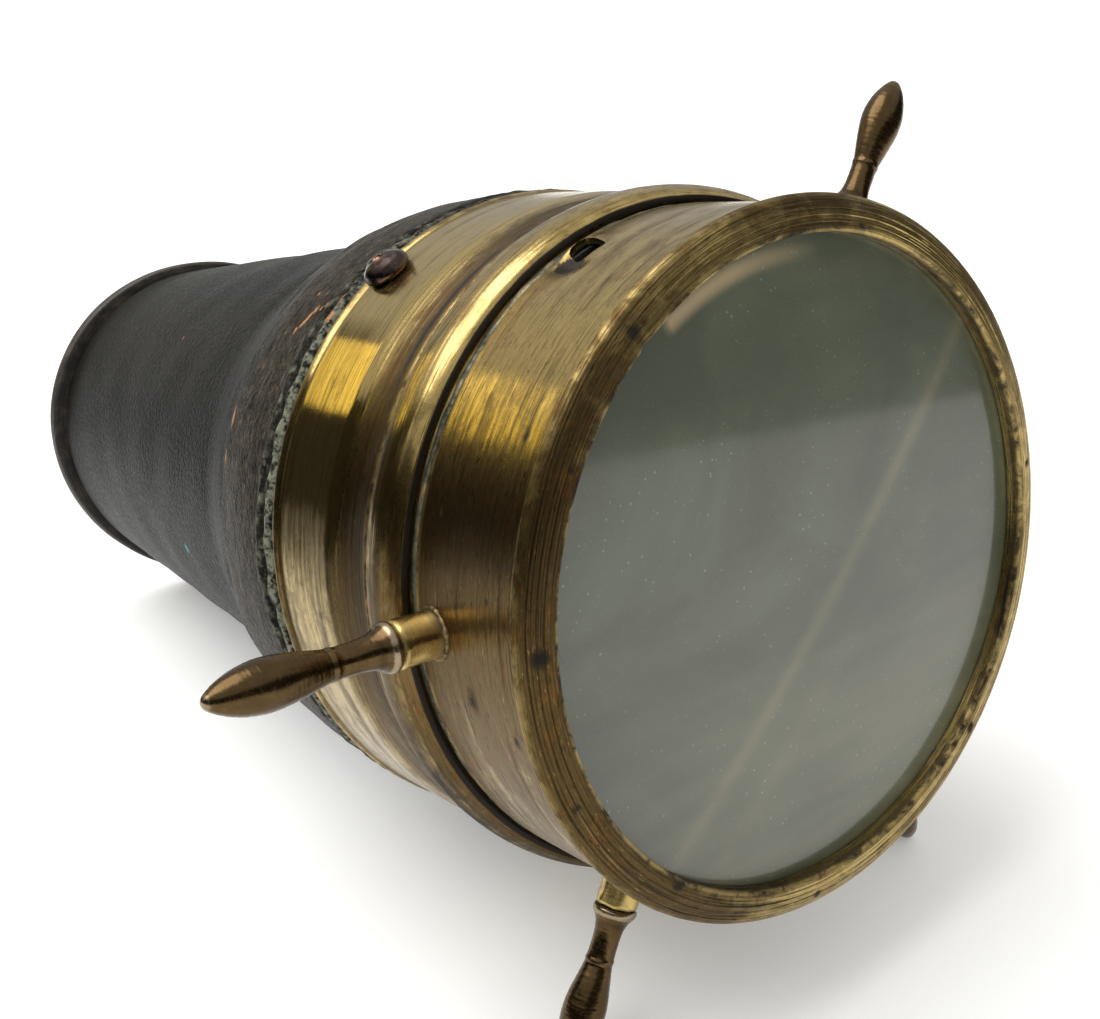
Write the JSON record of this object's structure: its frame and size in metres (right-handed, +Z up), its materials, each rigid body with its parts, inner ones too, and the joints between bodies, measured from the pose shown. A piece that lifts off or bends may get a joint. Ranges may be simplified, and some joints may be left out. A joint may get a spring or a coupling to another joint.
{
  "type": "parlour kaleidoscope",
  "caption": "Antique parlour kaleidoscope with a leather covered barrel, a fixed brass band and a turning brass object case with spoke handles and a ground glass front.",
  "frame": {"origin": "on the table, under the middle of the object's bounding box as it lies on two case handles and its rear rim", "axes": "+Z up, +X to the right when facing the front glass from -Y; the optical axis lies in the YZ plane, runs from the rear rim towards -Y and rises by about 10 degrees towards the front glass"},
  "size_m": [0.1946, 0.2676, 0.1633],
  "materials": {
    "turned_brass": "brushed round its axis, warm gold wearing to brown",
    "bezel_brass": "turned in fine rings, brown in the grooves, pitted",
    "aged_brass": "dull toned brass",
    "tinned_brass": "grey green with old solder",
    "dark_bronze": "brown black patina, satin, bright on worn edges",
    "barrel_leather": "charcoal fine grain leather, satin, scuffed to tan in places",
    "dark_rim": "brown black enamel",
    "pasteboard": "matt",
    "black_card": "matt black",
    "packing_wood": "plain turned wood",
    "ground_glass": "ground on the inside, grey green, dusty",
    "clear_glass": "clear",
    "mirror_glass": "silvered",
    "red_glass": "clear coloured glass",
    "blue_glass": "clear coloured glass"
  },
  "bodies": {
    "barrel": {"barrel_tube": "pasteboard", "leather_cover": "barrel_leather", "flare_collar": "packing_wood", "rim_ring": "dark_rim", "eye_disc": "dark_rim", "eye_glass": "clear_glass", "eye_glass_ring": "aged_brass", "mirror_left": "mirror_glass", "mirror_right": "mirror_glass", "mirror_board": "black_card", "mirror_support_rear": "packing_wood", "mirror_support_front": "packing_wood", "fixed_band": "turned_brass", "spigot": "aged_brass", "retaining_ring": "aged_brass", "band_screws": "dark_bronze"},
    "case": {"case_wall_ring": "turned_brass", "case_hub": "tinned_brass", "bezel_ring": "bezel_brass", "front_glass": "ground_glass", "inner_glass": "clear_glass", "cell_spacer": "black_card", "glass_retainer": "aged_brass", "glass_chips": "red_glass", "glass_ampoules": "blue_glass", "socket_1": "aged_brass", "socket_2": "aged_brass", "socket_3": "aged_brass", "socket_4": "aged_brass", "socket_5": "aged_brass", "handle_1": "dark_bronze", "handle_2": "dark_bronze", "handle_3": "dark_bronze", "handle_4": "dark_bronze", "handle_5": "dark_bronze"}
  },
  "joints": [
    {"name": "case_spin", "type": "hinge", "parent": "barrel", "child": "case", "pos_m": [0.0001, -0.09813, 0.08342], "axis": [0, -0.9864, 0.1641], "continuous": true}
  ]
}
